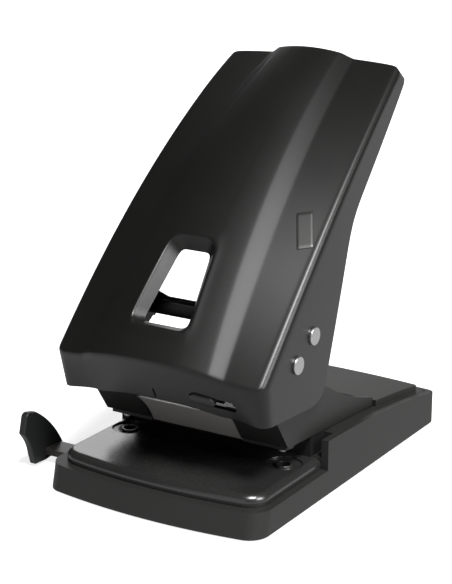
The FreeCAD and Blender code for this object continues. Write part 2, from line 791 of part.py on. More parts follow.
def guide_tab():
    """Upright fin at the end of the bar that the sheet rests against."""
    nose_low, nose_high = V(0, -35.2, 18.0), V(0, -33.4, 24.6)
    top_front, top_back = V(0, -30.6, 27.2), V(0, -26.2, 26.2)
    back_low = V(0, -7.4, 5.6)
    foot_back, foot_front = V(0, -20.0, 1.2), V(0, -28.0, 1.6)
    waist = V(0, -29.6, 7.0)
    ring = [
        arc(waist, V(0, -31.4, 12.6), nose_low), line(nose_low, nose_high),
        arc(nose_high, V(0, -32.6, 26.4), top_front), line(top_front, top_back),
        arc(top_back, V(0, -15.6, 17.4), back_low), line(back_low, V(0, -9.0, 2.6)),
        line(V(0, -9.0, 2.6), foot_back), line(foot_back, foot_front), line(foot_front, waist),
    ]
    return side_prism(ring, guide_tab_x, guide_tab_x + guide_tab_thick)


def guide_rails():
    """Two channels under the deck that carry the bar."""
    rails = []
    for x0 in (-46.0, -12.0):
        block = box(x0, x0 + 8, guide_y - guide_width / 2 - 4, guide_y + guide_width / 2 + 4,
                    guide_bottom - 1.0, deck_under)
        tunnel = box(x0 - 1, x0 + 9, guide_y - guide_width / 2 - 1.8, guide_y + guide_width / 2 + 1.8,
                     guide_bottom - free_gap, guide_bottom + guide_thick + free_gap)
        rails.append(block.cut(tunnel))
    return Part.makeCompound(rails)


# ---- chip tray ----
def chip_tray():
    """Shallow tray that closes the underside and catches the chips."""
    z0 = tray_lift
    floor = box(-tray_half, tray_half, -tray_front, tray_rear, z0, z0 + tray_thick)
    low_rim = box(-tray_half, tray_half, -tray_front, tray_front * 0.2, z0, z0 + tray_wall_front)
    low_room = box(-tray_half + tray_thick, tray_half - tray_thick, -tray_front + tray_thick,
                   tray_front * 0.2 + 1, z0 + tray_thick, far)
    high_rim = box(-tray_half, tray_half, tray_front * 0.2, tray_rear, z0, z0 + tray_wall)
    high_room = box(-tray_half + tray_thick, tray_half - tray_thick, tray_front * 0.2 - 1,
                    tray_rear - tray_thick, z0 + tray_thick, far)
    pieces = [floor, low_rim.cut(low_room), high_rim.cut(high_room)]
    for side in (-1, 1):
        x0 = side * (tray_half - 9) - 3
        pieces.append(rod(hinge_radius + 1.4, x0, x0 + 6, tray_hinge_y, tray_hinge_z))
        pieces.append(box(x0, x0 + 6, tray_rear - 1, tray_hinge_y, z0, tray_hinge_z + 1.0))
    tray = fuse(pieces)
    return tray.cut(rod(hinge_radius + tray_play, -far, far, tray_hinge_y, tray_hinge_z))


def tray_latch():
    """Spring tongue at the tray's front edge."""
    z0 = tray_lift
    return box(-7, 7, -tray_front - 1.8, -tray_front, z0, z0 + 6.0)


def tray_hinge_pins():
    """Two short pins from the base's rear ribs into the tray's knuckles."""
    pins = []
    for side in (-1, 1):
        x_in, x_out = side * (tray_half - 13.5), side * (tray_half - 3.5)
        pin = rod(hinge_radius, min(x_in, x_out), max(x_in, x_out), tray_hinge_y, tray_hinge_z)
        x0 = min(side * (tray_half - 3.5), side * (tray_half - 5.5))
        ear = box(x0, x0 + 2, tray_hinge_y - hinge_ear_front, far, base_skirt_z + 0.7, hinge_ear_top)
        ear = ear.common(base_block(wall_thick, -1, far / 8))
        pins.append(fuse([pin, ear]))
    return Part.makeCompound(pins)


def save(name, shape):
    solids = shape.Solids
    if not solids or not all(s.isValid() for s in solids):
        print("PROBLEM", name, len(solids))
    whole = solids[0] if len(solids) == 1 else Part.makeCompound(solids)
    whole.exportStep(os.path.join("parts", name + ".step"))
    print(name, len(solids), round(whole.Volume, 1))


os.makedirs("parts", exist_ok=True)
print("stroke", round(stroke, 3), "mm; ratio", round(stroke / radians(handle_throw), 4), "mm/rad")
slide = handle_frame.Rotation.multVec(lip_frame().Rotation.multVec(V(1, 0, 0)))
print("lock slides along", [round(v, 6) for v in slide])
save("base_shell", base_shell())
save("rear_deck", rear_deck())
save("die_plate", die_plate())
save("back_stop", back_stop())
save("punch_frame", punch_frame())
save("guide_plate", guide_plate())
save("pivot_axle", pivot_axle())
save("pivot_clips", pivot_clips())
save("frame_screws", frame_screws())
save("rubber_feet", rubber_feet())
save("guide_rails", guide_rails())
save("tray_hinge_pins", tray_hinge_pins())
for side, word in ((-1, "left"), (1, "right")):
    save(word + "_die", die(side))
    save(word + "_pin_guide", pin_guide(side))
    save(word + "_return_spring", return_spring(side))
    save(word + "_punch", punch(side))
    save(word + "_punch_collar", punch_collar(side))
save("handle_cover", handle_cover())
save("blank_badge", blank_badge())
save("lever_frame", lever_frame())
save("crossbar_sleeve", crossbar_sleeve())
save("press_axle", riveted_axle(axle_radius, press_y, press_z))
save("tie_axle", riveted_axle(tie_radius, tie_y, tie_z))
save("lock_slider", lock_slider())
save("guide_bar", guide_bar())
save("guide_tab", guide_tab())
save("chip_tray", chip_tray())
save("tray_latch", tray_latch())
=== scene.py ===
import bpy
import bmesh
import json
import math
from mathutils import Matrix, Vector


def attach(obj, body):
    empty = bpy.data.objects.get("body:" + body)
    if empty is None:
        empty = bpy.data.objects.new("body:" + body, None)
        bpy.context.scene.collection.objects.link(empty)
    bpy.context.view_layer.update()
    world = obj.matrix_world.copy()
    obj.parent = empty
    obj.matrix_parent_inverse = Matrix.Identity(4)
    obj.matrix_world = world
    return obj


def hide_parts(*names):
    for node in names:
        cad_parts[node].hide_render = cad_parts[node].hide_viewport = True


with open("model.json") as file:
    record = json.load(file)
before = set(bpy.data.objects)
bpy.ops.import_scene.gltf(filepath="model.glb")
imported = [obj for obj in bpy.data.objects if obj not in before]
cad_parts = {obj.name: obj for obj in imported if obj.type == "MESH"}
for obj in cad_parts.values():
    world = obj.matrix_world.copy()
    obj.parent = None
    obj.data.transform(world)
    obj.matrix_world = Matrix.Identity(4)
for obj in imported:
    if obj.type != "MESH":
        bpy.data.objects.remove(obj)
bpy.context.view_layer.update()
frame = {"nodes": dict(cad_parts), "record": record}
nodes = frame["nodes"]
mm = 0.001
print("frame loaded:", len(nodes), "nodes")


# shader trees written as expressions
class Wire:  # one output socket; arithmetic on it adds Math nodes
    def __init__(self, tree, socket):
        self.tree = tree
        self.socket = socket

    def calc(self, operation, *values):
        return self.tree.add("ShaderNodeMath", {"operation": operation}, dict(enumerate(values)))

    def __add__(self, other):
        return self.calc("ADD", self, other)

    def __radd__(self, other):
        return self.calc("ADD", other, self)

    def __sub__(self, other):
        return self.calc("SUBTRACT", self, other)

    def __rsub__(self, other):
        return self.calc("SUBTRACT", other, self)

    def __mul__(self, other):
        return self.calc("MULTIPLY", self, other)

    def __rmul__(self, other):
        return self.calc("MULTIPLY", other, self)

    def __pow__(self, other):
        return self.calc("POWER", self, other)

    def clamp(self):
        return self.calc("MAXIMUM", self.calc("MINIMUM", self, 1.0), 0.0)


class Tree:  # the nodes of one material
    def __init__(self, name):
        self.material = bpy.data.materials.new(name)
        self.material.use_nodes = True
        self.nodes = self.material.node_tree.nodes
        self.links = self.material.node_tree.links
        self.shader = self.nodes["Principled BSDF"]

    @classmethod
    def ofWorld(cls, world):
        tree = cls.__new__(cls)
        world.use_nodes = True
        tree.nodes = world.node_tree.nodes
        tree.links = world.node_tree.links
        tree.shader = tree.nodes["Background"]
        return tree

    def add(self, kind, settings=None, inputs=None, output=0):
        node = self.nodes.new(kind)
        for key, value in (settings or {}).items():
            setattr(node, key, value)
        for key, value in (inputs or {}).items():
            self.feed(node.inputs[key], value)
        return Wire(self, node.outputs[output])

    def feed(self, socket, value):
        if isinstance(value, Wire):
            self.links.new(value.socket, socket)
        else:
            socket.default_value = value

    def coords(self, stretch=(1.0, 1.0, 1.0)):
        place = self.add("ShaderNodeTexCoord", output=3)
        return self.add("ShaderNodeMapping", {}, {"Vector": place, "Scale": stretch})

    def noise(self, vector, scale, detail=3.0, rough=0.55):
        return self.add("ShaderNodeTexNoise", {}, {
            "Vector": vector, "Scale": scale, "Detail": detail, "Roughness": rough})

    def blend(self, share, first, second):
        return self.add("ShaderNodeMix", {"data_type": "RGBA"}, {0: share, 6: first, 7: second}, 2)

    def bump(self, height, strength, distance):
        return self.add("ShaderNodeBump", {}, {
            "Height": height, "Strength": strength, "Distance": distance})

    def surface(self, **values):
        for key, value in values.items():
            self.feed(self.shader.inputs[key.replace("_", " ")], value)
        return self.material


def grey(level, warm=0.0):
    return (level * (1 + warm), level, level * (1 - warm), 1.0)


def coatedSteel(name, look):  # powder coat: fine orange peel under a satin skin
    tree = Tree(name)
    place = tree.coords()
    cloud = tree.noise(place, look["cloud"], 2.0)
    peel = tree.noise(place, look["peel"], 2.0, 0.4)
    speck = tree.noise(place, look["peel"] * 3.1, 1.0)
    colour = tree.blend(cloud, grey(look["dark"], look["warm"]), grey(look["light"], look["warm"]))
    rough = cloud * look["roughSpread"] + speck * 0.04 + (look["rough"] - look["roughSpread"] / 2)
    normal = tree.bump(peel + speck * 0.35, look["bump"], look["bumpDepth"] * mm)
    return tree.surface(Base_Color=colour, Roughness=rough, Normal=normal,
                        Specular_IOR_Level=look["specular"])


def mouldedPlastic(name, look):  # spark-eroded mould texture
    tree = Tree(name)
    place = tree.coords()
    cloud = tree.noise(place, look["cloud"], 2.0)
    grain = tree.add("ShaderNodeTexVoronoi", {"feature": "SMOOTH_F1"}, {
        "Vector": place, "Scale": look["grain"], "Smoothness": 0.6})
    fine = tree.noise(place, look["grain"] * 1.7, 2.0)
    colour = tree.blend(cloud, grey(look["dark"], look["warm"]), grey(look["light"], look["warm"]))
    rough = cloud * look["roughSpread"] + fine * 0.05 + (look["rough"] - look["roughSpread"] / 2)
    normal = tree.bump(grain + fine * 0.5, look["bump"], look["bumpDepth"] * mm)
    return tree.surface(Base_Color=colour, Roughness=rough, Normal=normal,
                        Specular_IOR_Level=look["specular"])


def bareSteel(name, look):  # drawn or turned metal with fine lines along one axis
    tree = Tree(name)
    lines = tree.noise(tree.coords(look["stretch"]), look["lines"], 4.0, 0.6)
    stain = tree.noise(tree.coords(), look["stain"], 3.0)
    colour = tree.blend(stain, grey(look["dark"]), grey(look["light"]))
    rough = lines * look["roughSpread"] + stain * 0.08 + (look["rough"] - look["roughSpread"] / 2)
    normal = tree.bump(lines, look["bump"], look["bumpDepth"] * mm)
    return tree.surface(Base_Color=colour, Roughness=rough, Normal=normal, Metallic=1.0)


coverLook = {"dark": 0.0055, "light": 0.0075, "warm": 0.035, "cloud": 28.0, "peel": 1500.0, "rough": 0.33,
             "roughSpread": 0.05, "bump": 0.22, "bumpDepth": 0.05, "specular": 0.30}
plateLook = {"dark": 0.010, "light": 0.014, "warm": 0.02, "cloud": 40.0, "peel": 1300.0, "rough": 0.25,
             "roughSpread": 0.05, "bump": 0.12, "bumpDepth": 0.04, "specular": 0.7}
frameLook = dict(coverLook, dark=0.009, light=0.012, rough=0.46)
darkLook = dict(coverLook, dark=0.006, light=0.010, rough=0.42, warm=0.0)
dieLook = dict(plateLook, dark=0.008, light=0.016, rough=0.34, cloud=160.0)
baseLook = {"dark": 0.0090, "light": 0.0120, "warm": 0.035, "cloud": 22.0, "grain": 1400.0, "rough": 0.52,
            "roughSpread": 0.06, "bump": 0.30, "bumpDepth": 0.05, "specular": 0.32}
tabLook = dict(baseLook, dark=0.010, light=0.014, warm=-0.04, rough=0.40)
trayLook = dict(baseLook, dark=0.012, light=0.016)
footLook = dict(baseLook, dark=0.010, light=0.014, rough=0.75, specular=0.3)
rivetLook = {"dark": 0.40, "light": 0.46, "stretch": (1.0, 1.0, 0.2), "lines": 900.0, "stain": 300.0,
             "rough": 0.36, "roughSpread": 0.12, "bump": 0.10, "bumpDepth": 0.02}
pinLook = dict(rivetLook, dark=0.42, light=0.55, stretch=(1.0, 1.0, 0.06), rough=0.28)
wireLook = dict(rivetLook, dark=0.38, light=0.5, stretch=(0.3, 0.3, 1.0), rough=0.34)

finishes = {
    "handle_cover": coatedSteel("satinCoat", coverLook),
    "blank_badge": coatedSteel("badgeCoat", dict(coverLook, dark=0.011, light=0.014, rough=0.34)),
    "base_shell": mouldedPlastic("baseMoulding", baseLook),
    "rear_deck": mouldedPlastic("deckMoulding", dict(baseLook, dark=0.010, light=0.013, specular=0.22)),
    "die_plate": coatedSteel("plateCoat", plateLook),
    "dies": coatedSteel("blackenedDie", dieLook),
    "back_stop": coatedSteel("blackenedBar", darkLook),
    "punch_frame": coatedSteel("frameCoat", frameLook),
    # the guide plate's own dark grey coat is lifted to a light grey here: painted light standing in for the
    # front light that falls on it
    "guide_plate": coatedSteel("guidePlatePaintedLightCoat", dict(frameLook, dark=0.16, light=0.20, rough=0.36)),
    "steel_pins": bareSteel("groundSteel", pinLook),
    "rivet_axle": bareSteel("rivetSteel", rivetLook),
    "springs": bareSteel("springWire", wireLook),
    "lever": coatedSteel("leverOxide", darkLook),
    "lock": coatedSteel("lockCoat", dict(darkLook, rough=0.34, dark=0.012, light=0.016)),
    "guide_bar": coatedSteel("barCoat", dict(darkLook, dark=0.012, light=0.02, warm=0.12, rough=0.4)),
    "guide_tab": mouldedPlastic("tabMoulding", tabLook),
    "tray": mouldedPlastic("trayMoulding", trayLook),
    "feet": mouldedPlastic("softRubber", footLook),
}
print("finishes made:", len(finishes))

nodeSlots = {row["node"]: row["material_slot"] for row in frame["record"]["subparts"]}
nodeBodies = {member: body for body, members in frame["record"]["behaviour"]["bodies"].items()
              for member in members}


# making pieces
def asPiece(bm, name, slot, body, stands=(), sharp=40.0):
    mesh = bpy.data.meshes.new(name)
    bm.to_mesh(mesh)
    bm.free()
    for polygon in mesh.polygons:
        polygon.use_smooth = True
    mesh.set_sharp_from_angle(angle=math.radians(sharp))
    mesh.materials.append(finishes[slot])
    piece = bpy.data.objects.new(name, mesh)
    bpy.context.scene.collection.objects.link(piece)
    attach(piece, body)
    if stands:
        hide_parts(*stands)
    return piece


def evenNormals(piece):
    modifier = piece.modifiers.new("evenNormals", "WEIGHTED_NORMAL")
    modifier.keep_sharp = True
    return piece


def softened(node, name, edge):  # a copy of a CAD node with its hard edges eased
    bm = bmesh.new()
    bm.from_mesh(nodes[node].data)
    bmesh.ops.remove_doubles(bm, verts=bm.verts, dist=0.002 * mm)
    bmesh.ops.dissolve_limit(bm, angle_limit=math.radians(edge["flat"]), verts=bm.verts, edges=bm.edges)
    hard = [e for e in bm.edges if len(e.link_faces) == 2
            and e.calc_face_angle() > math.radians(edge["angle"])]
    bmesh.ops.bevel(bm, geom=hard, offset=edge["width"] * mm, offset_type="OFFSET", affect="EDGES",
                    segments=edge["segments"], profile=0.5, clamp_overlap=True, material=-1)
    bmesh.ops.recalc_face_normals(bm, faces=bm.faces)
    piece = asPiece(bm, name, nodeSlots[node], nodeBodies[node], (node,), edge["angle"])
    return evenNormals(piece)


# the handle's cover: a pressed panel between two ridges, with a leaning lip and skirts
cover = {
    "tilt": 47.0, "frontY": -38.7, "frontZ": 62.0, "length": 172.2, "thick": 1.6,
    "halfFront": 51.9, "halfRear": 44.2, "sag": 19.6, "sagPower": 2.4, "rimRise": 0.25,
    "draft": 0.045, "round": (3.6, 3.0, 2.3),
    "crown": (11.2, 12.8, 8.8), "ridge": (32.0, 25.2, 18.3), "ridgeRun": (3.0, 4.0, 2.4),
    "foot": (3.2, 6.0, 2.0), "step": (2.9, 3.4, 4.2),
    "lipSlant": 20.0, "lipLength": 21.9, "lipLowest": 46.3, "lipTurn": 30.0,
    "frontRun": 45.0, "settleRun": 34.0, "settlePower": 1.6,
    "cornerAcross": 8.0, "cornerBack": 5.0, "endAcross": 6.0, "endBack": 4.5,
    "windowLow": 15.6, "windowHigh": 59.0, "windowHalfLow": 14.6, "windowHalfHigh": 11.2,
    "windowInsetLow": 3.4, "windowInsetHigh": 4.4, "windowInsetSide": (3.2, 4.3), "windowRound": 1.5,
    "windowFloor": 6.1, "windowWall": 1.1, "windowEase": 0.7, "windowRim": 0.45,
    "lowerEdge": ((-5.7, -18.4), (17.7, -48.0), (20.6, -50.7), (24.0, -52.0), (27.8, -51.3), (31.4, -49.1),
                  (88.0, -23.9), (93.4, -22.2), (98.9, -21.6), (168.7, -27.7)),
}
lipU = -math.sin(math.radians(cover["lipSlant"]))
lipN = -math.cos(math.radians(cover["lipSlant"]))
tiltCos = math.cos(math.radians(cover["tilt"]))
tiltSin = math.sin(math.radians(cover["tilt"]))


def fromSlope(x, u, n):
    y = cover["frontY"] + u * tiltCos - n * tiltSin
    z = cover["frontZ"] + u * tiltSin + n * tiltCos
    return Vector((x, y, z)) * mm


def along(u, stations):  # smooth value at u through the front, middle and far stations
    t = u / cover["length"]
    front, middle, rear = stations
    return front * (1 - t) * (1 - 2 * t) + middle * 4 * t * (1 - t) + rear * t * (2 * t - 1)


def halfWidth(u):
    return cover["halfFront"] + (cover["halfRear"] - cover["halfFront"]) * (u / cover["length"]) ** 2


def shoulder(u):
    return -cover["sag"] * max(u / cover["length"], 0.0) ** cover["sagPower"]


def topHeight(x, u):
    ridge, run = along(u, cover["ridge"]), along(u, cover["ridgeRun"])
    half, turn = halfWidth(u), along(u, cover["round"])
    foot, rim = along(u, cover["foot"]), cover["rimRise"]
    crest = foot + along(u, cover["step"])
    crown = along(u, cover["crown"])
    x = abs(x)
    if x <= ridge - run:
        rise = crown - (crown - crest) * (x / (ridge - run)) ** 2
    elif x <= ridge + run:
        rise = crest + (foot - crest) * (x - ridge + run) / (2 * run)
    elif x <= half - turn:
        rise = foot + (rim - foot) * (x - ridge - run) / (half - turn - ridge - run)
    else:
        rise = rim - (turn + rim) * (1 - math.sqrt(max(0.0, 1 - ((x - half + turn) / turn) ** 2)))
    return shoulder(u) + rise


def windowHalf(u):
    t = (u - cover["windowLow"]) / (cover["windowHigh"] - cover["windowLow"])
    half = cover["windowHalfLow"] + (cover["windowHalfHigh"] - cover["windowHalfLow"]) * min(t, 1.0)
    return half - max(0.0, u - cover["windowHigh"]) * 0.03


def lowerEdge(u):
    points = cover["lowerEdge"]
    for (ua, na), (ub, nb) in zip(points, points[1:]):
        if u <= ub:
            return na + (nb - na) * (u - ua) / (ub - ua)
    return points[-1][1]


def coverColumns(u):  # x of each column of the top, from the middle outwards
    edge, ridge, run = windowHalf(u), along(u, cover["ridge"]), along(u, cover["ridgeRun"])
    half, turn, ease = halfWidth(u), along(u, cover["round"]), cover["windowEase"]
    share = min(max((u - cover["windowLow"]) / (cover["windowHigh"] - cover["windowLow"]), 0.0), 1.0)
    insetLow, insetHigh = cover["windowInsetSide"]
    inner = edge - insetLow - (insetHigh - insetLow) * share
    crest, foot = ridge - run, ridge + run
    return [
        0.0, inner * 0.55, inner, edge - ease, edge + ease * 0.5, edge + 2.2,
        (edge + 2.2 + crest - 2.0) / 2, crest - 2.0, crest - 0.3, crest + 0.5, ridge, foot - 0.5, foot + 0.3,
        foot + 2.0, (foot + 2.0 + half - turn - 1.5) / 2, half - turn - 1.5, half - turn,
        half - turn * 0.62, half - turn * 0.293, half - turn * 0.076, half,
    ]


def rowPlaces():  # u of each row of the top, denser at the lip, the window's ends and the far end
    low, high, ease = cover["windowLow"], cover["windowHigh"], cover["windowEase"]
    rows = [0.0, 2.6, 5.6, 8.4, 11.4, low - ease * 0.5, low + ease, low + cover["windowInsetLow"]]
    rows += [25.0, 30.0, 36.0, 42.0, 48.0]
    rows += [high - cover["windowInsetHigh"], high - ease, high + ease * 0.5, high + 3.0]
    step = (cover["length"] - 4.0 - high - 9.0) / 11
    rows += [high + 9.0 + step * index for index in range(12)]
    return rows + [cover["length"] - 2.2, cover["length"] - 0.8, cover["length"]]


coverRows = rowPlaces()
lastColumn = len(coverColumns(0.0)) - 1
lastRow = len(coverRows) - 1
skirtShares = [0.0, 0.11, 0.2, 0.32, 0.46, 0.64, 0.82, 0.95, 1.0]
skirtSteps = len(skirtShares) - 1
innerColumn, easeColumn = 2, 3
innerLow, innerHigh = 7, 13
windowEnds = (innerLow - 2, innerLow - 1, innerHigh + 1, innerHigh + 2)


def setback(x, half, across, back):  # how far a plan corner rounds off at x
    over = max(0.0, abs(x) - (half - across)) / across
    return back * (1 - math.sqrt(max(0.0, 1 - min(over, 1.0) ** 2)))


def topPoint(column, row):
    u = coverRows[row]
    x = coverColumns(u)[abs(column)] * (1 if column >= 0 else -1)
    half = halfWidth(u)
    if easeColumn <= abs(column) <= easeColumn + 1 and row in windowEnds:
        x -= math.copysign(cover["windowRound"], x)
        u += cover["windowRound"] * (1 if row < innerLow else -1)
    front = max(0.0, 1 - u / cover["frontRun"]) ** 2
    front = front * setback(x, half, cover["cornerAcross"], cover["cornerBack"])
    rear = max(0.0, u / cover["length"] * 6 - 5) ** 2 * setback(x, half, cover["endAcross"], cover["endBack"])
    n = topHeight(x, u)
    if abs(column) <= easeColumn and innerLow - 1 <= row <= innerHigh + 1:
        ring = abs(column) <= innerColumn and innerLow <= row <= innerHigh
        n = cover["windowFloor"] if ring else n - cover["windowWall"]
    elif abs(column) <= easeColumn + 1 and innerLow - 2 <= row <= innerHigh + 2:
        n += cover["windowRim"]
    return x, u + front - rear, n


def skirtPoint(side, step, row):
    x, u, n = topPoint(lastColumn, row)
    share = skirtShares[step]
    settle = max(0.0, 1 - coverRows[row] / cover["settleRun"]) ** cover["settlePower"]
    first, last = cover["lowerEdge"][0][0], cover["lowerEdge"][-1][0]
    lowU = coverRows[row] + first * settle
    lowU = min(lowU, last + (coverRows[row] - cover["length"]) * 0.3)
    lowN = lowerEdge(lowU)
    un = u + (lowU - u) * share
    nn = n + (lowN - n) * share
    return side * (x + cover["draft"] * (nn - n)), un, nn


def lipPoint(column, step):
    x, u, n = topPoint(column, 0)
    top = fromSlope(x, u, n).z / mm
    reach = min(cover["lipLength"], (top - cover["lipLowest"]) / (tiltSin * -lipU + tiltCos * -lipN))
    sideX, sideU, sideN = skirtPoint(1, step, 0)
    edgeX, edgeU, edgeN = topPoint(lastColumn, 0)
    share = skirtShares[step]
    near = max(0.0, (abs(x) - cover["lipTurn"]) / (cover["halfFront"] - cover["lipTurn"])) ** 2
    ownU, ownN = u + lipU * reach * share, n + lipN * reach * share
    skirtU, skirtN = u + sideU - edgeU, n + sideN - edgeN
    tuck = (edgeX - sideX) * near
    return (x - math.copysign(tuck, x), ownU + (skirtU - ownU) * near,
            ownN + (skirtN - ownN) * near)


def endPoint(column, step):
    x, u, n = topPoint(column, lastRow)
    sideX = skirtPoint(1, step, lastRow)[0]
    topX, topU = topPoint(lastColumn, lastRow)[:2]
    share = skirtShares[step]
    lowU, lowN = skirtPoint(1, skirtSteps, lastRow)[1:]
    x = x * (1 - (topX - sideX) / topX)
    return x, u + (lowU - topU) * share, n + (lowN - n) * share


def cagePoint(column, row):
    if abs(column) > lastColumn:
        return skirtPoint(1 if column > 0 else -1, abs(column) - lastColumn, row)
    if row < 0:
        if abs(column) == lastColumn:
            return skirtPoint(1 if column > 0 else -1, -row, 0)
        return lipPoint(column, -row)
    if row > lastRow:
        if abs(column) == lastColumn:
            return skirtPoint(1 if column > 0 else -1, row - lastRow, lastRow)
        return endPoint(column, row - lastRow)
    return topPoint(column, row)


def coverCage():
    reach, rows = lastColumn + skirtSteps, lastRow + 2 * skirtSteps
    bm = bmesh.new()
    bmesh.ops.create_grid(bm, x_segments=2 * reach, y_segments=rows, size=1.0)
    spots = {}
    for vert in bm.verts:
        column = round(vert.co.x * reach)
        row = round((vert.co.y + 1) / 2 * rows) - skirtSteps
        spots[vert] = (column, row)
    gone = [v for v, (c, r) in spots.items() if abs(c) > lastColumn and not 0 <= r <= lastRow]
    bmesh.ops.delete(bm, geom=gone, context="VERTS")
    hole = []
    for face in bm.faces:
        columns = [spots[v][0] for v in face.verts]
        rows = [spots[v][1] for v in face.verts]
        inside = max(map(abs, columns)) <= innerColumn
        if inside and min(rows) >= innerLow and max(rows) <= innerHigh:
            hole.append(face)
    bmesh.ops.delete(bm, geom=hole, context="FACES")
    for vert in bm.verts:
        vert.co = fromSlope(*cagePoint(*spots[vert]))
    bmesh.ops.remove_doubles(bm, verts=bm.verts, dist=0.01 * mm)
    bmesh.ops.recalc_face_normals(bm, faces=bm.faces)
    return bm


def bakedMesh(piece):  # the piece with its modifiers applied
    graph = bpy.context.evaluated_depsgraph_get()
    mesh = bpy.data.meshes.new_from_object(piece.evaluated_get(graph))
    piece.modifiers.clear()
    piece.data = mesh
    return piece


lock = {"x": 27.6, "down": 14.4, "halfLength": 10.5, "halfHeight": 2.6, "corner": 2.3, "tilt": 12.5,
        "tongue": 11.5, "proud": 1.3, "deep": 4.6, "play": 0.35, "ease": 0.5,
        "plate": (17.0, 8.2, 1.4), "plateShift": -0.9, "cutDeep": 14.0}
slit = {"width": 0.9, "high": 5.0, "deep": 26.0, "through": 12.0}


def cutter(bm):
    mesh = bpy.data.meshes.new("cutter")
    bm.to_mesh(mesh)
    bm.free()
    tool = bpy.data.objects.new("cutter", mesh)
    bpy.context.scene.collection.objects.link(tool)
    return tool


def lipSpot(x, down):  # a point of the lip's outer face, measured down from its crest at the lock
    height = topHeight(x, 0.0)
    down = down - (height - topHeight(lock["x"], 0.0)) * lipN
    return fromSlope(x, lipU * down, height + lipN * down)


def lipFrame():  # on the lip at the lock: X along the slot, Y up the lip, Z outwards
    joint = next(j for j in frame["record"]["behaviour"]["joints"] if j["name"] == "lock_slide")
    axisX = Vector(joint["axis"]).normalized()
    down = fromSlope(0, lipU, lipN) - fromSlope(0, 0, 0)
    axisZ = down.cross(axisX).normalized()
    if axisZ.y > 0:
        axisZ = -axisZ
    turned = Matrix((axisX, axisZ.cross(axisX), axisZ)).transposed().to_4x4()
    across = lock["halfLength"] * math.cos(math.radians(lock["tilt"]))
    drop = lock["halfLength"] * math.sin(math.radians(lock["tilt"]))
    ends = [lipSpot(lock["x"] + side * across, lock["down"] + side * drop) for side in (-1, 1)]
    turned.translation = (ends[0] + ends[1]) / 2
    return turned


def slotCutter():
    bm = bmesh.new()
    bmesh.ops.create_cube(bm, size=1.0)
    size = Vector((2 * lock["halfLength"], 2 * lock["halfHeight"], lock["cutDeep"])) * mm
    bmesh.ops.scale(bm, vec=size, verts=bm.verts)
    uprights = [e for e in bm.edges if abs(e.verts[0].co.z - e.verts[1].co.z) > size.z / 2]
    bmesh.ops.bevel(bm, geom=uprights, offset=lock["corner"] * mm, affect="EDGES", segments=6, profile=0.5,
                    material=-1)
    bmesh.ops.transform(bm, matrix=lipFrame(), verts=bm.verts)
    return cutter(bm)


def slitCutter():  # narrow round-ended slit in the middle of the lip, open at its lower edge
    bm = bmesh.new()
    bmesh.ops.create_cube(bm, size=1.0)
    size = Vector((slit["width"], slit["through"], slit["deep"])) * mm
    bmesh.ops.scale(bm, vec=size, verts=bm.verts)
    uprights = [e for e in bm.edges if abs(e.verts[0].co.y - e.verts[1].co.y) > size.y / 2]
    bmesh.ops.bevel(bm, geom=uprights, offset=slit["width"] * 0.45 * mm, affect="EDGES", segments=4,
                    profile=0.5, material=-1)
    reach = cover["crown"][0] + slit["high"] + slit["deep"] / 2
    middle = fromSlope(0.0, lipU * reach, cover["crown"][0] + lipN * reach)
    lean = Matrix.Rotation(math.radians(cover["tilt"] - cover["lipSlant"]), 4, "X")
    bmesh.ops.transform(bm, matrix=Matrix.Translation(middle) @ lean, verts=bm.verts)
    return cutter(bm)


def makeCover():
    piece = asPiece(coverCage(), "handleCover", "handle_cover", "handle", ("handle_cover",), 50.0)
    smooth = piece.modifiers.new("smooth", "SUBSURF")
    smooth.levels = smooth.render_levels = 2
    shell = piece.modifiers.new("sheet", "SOLIDIFY")
    shell.thickness = cover["thick"] * mm
    shell.offset = -1.0
    bakedMesh(piece)
    for tool in (slotCutter(), slitCutter()):
        cut = piece.modifiers.new("cut", "BOOLEAN")
        cut.object = tool
        cut.solver = "EXACT"
        bakedMesh(piece)
        bpy.data.objects.remove(tool)
    for polygon in piece.data.polygons:
        polygon.use_smooth = True
    piece.data.set_sharp_from_angle(angle=math.radians(42))
    return piece


makeCover()
print("cover made")


def makeTongue():  # the part of the lock that the thumb pushes, round at its free end
    long, high = lock["tongue"], 2 * (lock["halfHeight"] - lock["play"])
    bm = bmesh.new()
    bmesh.ops.create_cube(bm, size=1.0)
    bmesh.ops.scale(bm, vec=Vector((long, high, lock["proud"] + lock["deep"])) * mm, verts=bm.verts)
    start = lock["play"] - lock["halfLength"] + long / 2
    bmesh.ops.translate(bm, vec=Vector((start, 0, (lock["proud"] - lock["deep"]) / 2)) * mm, verts=bm.verts)
    uprights = [e for e in bm.edges if abs(e.verts[0].co.z - e.verts[1].co.z) > mm]
    bmesh.ops.bevel(bm, geom=uprights, offset=high * 0.46 * mm, affect="EDGES", segments=8, profile=0.5,
                    material=-1)
    top = max(v.co.z for v in bm.verts)
    rim = [e for e in bm.edges if all(v.co.z > top - 0.01 * mm for v in e.verts)]
    bmesh.ops.bevel(bm, geom=rim, offset=lock["ease"] * mm, affect="EDGES", segments=3, profile=0.5,
                    material=-1)
    plate = bmesh.ops.create_cube(bm, size=1.0)["verts"]
    bmesh.ops.scale(bm, vec=Vector(lock["plate"]) * mm, verts=plate)
    bmesh.ops.translate(bm, vec=Vector((start + lock["plateShift"], 0, -lock["deep"])) * mm, verts=plate)
    bmesh.ops.transform(bm, matrix=lipFrame(), verts=bm.verts)
    bmesh.ops.recalc_face_normals(bm, faces=bm.faces)
    return asPiece(bm, "lockTongue", "lock", "lock", ("lock_slider",), 50.0)


badge = {"low": (41.8, 65.4), "lowRight": (47.4, 68.6), "high": (35.4, 81.7), "across": 6, "along": 10,
         "sink": 0.5, "rise": 0.32, "ease": 0.12}


